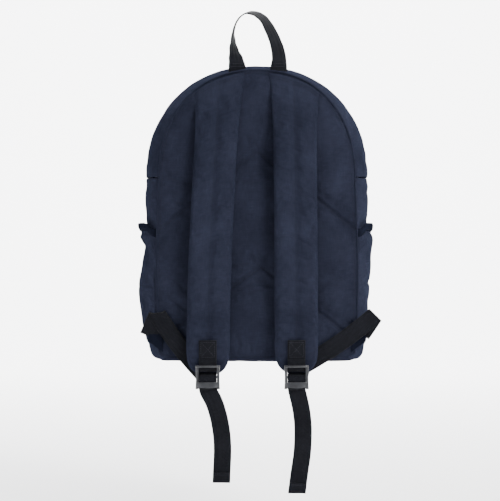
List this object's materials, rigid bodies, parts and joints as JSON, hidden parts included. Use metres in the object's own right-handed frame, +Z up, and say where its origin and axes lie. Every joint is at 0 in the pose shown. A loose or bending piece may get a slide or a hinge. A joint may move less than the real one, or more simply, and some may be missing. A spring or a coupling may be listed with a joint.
{
  "type": "school backpack",
  "caption": "Domed school backpack with padded shoulder straps, ladder locks, a grab handle, a zipped main compartment, a front pocket and side pockets.",
  "frame": {"origin": "inside of the grab handle's top, where a hook or hand holds the bag", "axes": "+Z up; +Y from the wearer's back towards the front pocket; +X to the right as the back panel is seen"},
  "size_m": [0.3412, 0.2067, 0.6897],
  "materials": {
    "navy_fabric": "woven polyester, matte",
    "strap_fabric": "woven polyester over foam, matte",
    "dark_fabric": "plain woven binding, matte",
    "lining": "thin coated lining",
    "foam": "closed-cell foam",
    "webbing": "ribbed polypropylene webbing",
    "zip_tape": "knitted tape",
    "zip_coil": "moulded coil",
    "slider_metal": "dark painted zinc",
    "dark_plastic": "moulded acetal, satin"
  },
  "bodies": {
    "bag": {"back_panel": "navy_fabric", "back_foam": "foam", "back_lining": "lining", "rear_piping": "dark_fabric", "rear_gusset": "navy_fabric", "side_panel_left": "navy_fabric", "side_panel_right": "navy_fabric", "bottom_panel": "dark_fabric", "base_stiffener": "dark_plastic", "front_panel_lower": "navy_fabric", "laptop_sleeve": "lining", "sleeve_binding": "webbing", "zip_tape_rear": "zip_tape", "zip_coil_rear": "zip_coil", "zip_end_stops": "slider_metal", "front_pocket_gusset": "navy_fabric", "front_pocket_face": "navy_fabric", "pocket_zip_tapes": "zip_tape", "pocket_zip_coils": "zip_coil", "side_pocket_left": "navy_fabric", "side_pocket_right": "navy_fabric", "pocket_hem_left": "dark_fabric", "pocket_hem_right": "dark_fabric", "anchor_wing_left": "dark_fabric", "anchor_wing_right": "dark_fabric", "lower_webbing_left": "webbing", "lower_webbing_right": "webbing"},
    "flap": {"front_panel_upper": "navy_fabric", "front_gusset": "navy_fabric", "zip_tape_front": "zip_tape", "zip_coil_front": "zip_coil"},
    "handle": {"grab_handle": "webbing"},
    "slider_left": {"main_slider_left": "slider_metal"},
    "slider_right": {"main_slider_right": "slider_metal"},
    "pull_left": {"main_pull_left": "slider_metal"},
    "pull_right": {"main_pull_right": "slider_metal"},
    "pocket_slider": {"pocket_slider": "slider_metal"},
    "pocket_pull": {"pocket_pull": "slider_metal"},
    "strap_left": {"strap_fabric_left": "strap_fabric", "strap_foam_left": "foam", "strap_mesh_left": "dark_fabric", "buckle_loop_left": "webbing"},
    "lock_left": {"ladder_lock_left": "dark_plastic"},
    "tail_left": {"webbing_tail_left": "webbing", "tail_hem_left": "webbing"},
    "strap_right": {"strap_fabric_right": "strap_fabric", "strap_foam_right": "foam", "strap_mesh_right": "dark_fabric", "buckle_loop_right": "webbing"},
    "lock_right": {"ladder_lock_right": "dark_plastic"},
    "tail_right": {"webbing_tail_right": "webbing", "tail_hem_right": "webbing"}
  },
  "joints": [
    {"name": "flap_hinge", "type": "hinge", "parent": "bag", "child": "flap", "pos_m": [0, 0.132, -0.2335], "axis": [-1, 0, 0], "range_deg": [0, 75]},
    {"name": "handle_fold", "type": "hinge", "parent": "bag", "child": "handle", "pos_m": [0, 0, -0.078], "axis": [1, 0, 0], "range_deg": [-60, 70], "stiffness_Nm_per_rad": 0.03},
    {"name": "slider_travel_left", "type": "hinge", "parent": "bag", "child": "slider_left", "pos_m": [0, 0.086, -0.2335], "axis": [0, -1, 0], "range_deg": [0, 75]},
    {"name": "slider_travel_right", "type": "hinge", "parent": "bag", "child": "slider_right", "pos_m": [0, 0.086, -0.2335], "axis": [0, 1, 0], "range_deg": [0, 75]},
    {"name": "pull_flip_left", "type": "hinge", "parent": "slider_left", "child": "pull_left", "pos_m": [-0.02235, 0.086, -0.07446], "axis": [0, 1, 0], "range_deg": [0, 120]},
    {"name": "pull_flip_right", "type": "hinge", "parent": "slider_right", "child": "pull_right", "pos_m": [0.02235, 0.086, -0.07446], "axis": [0, -1, 0], "range_deg": [0, 120]},
    {"name": "pocket_slider_travel", "type": "slide", "parent": "bag", "child": "pocket_slider", "axis": [1, 0, 0], "range_m": [0, 0.136]},
    {"name": "pocket_pull_flip", "type": "hinge", "parent": "pocket_slider", "child": "pocket_pull", "pos_m": [-0.068, 0.1485, -0.2619], "axis": [0, -1, 0], "range_deg": [0, 120]},
    {"name": "strap_swing_left", "type": "hinge", "parent": "bag", "child": "strap_left", "pos_m": [-0.053, -0.0104, -0.0835], "axis": [-1, 0, 0], "range_deg": [0, 15]},
    {"name": "lock_swing_left", "type": "hinge", "parent": "strap_left", "child": "lock_left", "pos_m": [-0.07, -0.0349, -0.5035], "axis": [-1, 0, 0], "range_deg": [0, 60]},
    {"name": "tail_swing_left", "type": "hinge", "parent": "lock_left", "child": "tail_left", "pos_m": [-0.07, -0.0349, -0.5327], "axis": [-1, 0, 0], "range_deg": [-40, 60]},
    {"name": "strap_swing_right", "type": "hinge", "parent": "bag", "child": "strap_right", "pos_m": [0.053, -0.0104, -0.0835], "axis": [-1, 0, 0], "range_deg": [0, 15]},
    {"name": "lock_swing_right", "type": "hinge", "parent": "strap_right", "child": "lock_right", "pos_m": [0.056, -0.0349, -0.5035], "axis": [-1, 0, 0], "range_deg": [0, 60]},
    {"name": "tail_swing_right", "type": "hinge", "parent": "lock_right", "child": "tail_right", "pos_m": [0.056, -0.0349, -0.5327], "axis": [-1, 0, 0], "range_deg": [-40, 60]}
  ],
  "couplings": [
    {"joint": "slider_travel_left", "follows": "flap_hinge", "ratio": 1},
    {"joint": "slider_travel_right", "follows": "flap_hinge", "ratio": 1}
  ]
}
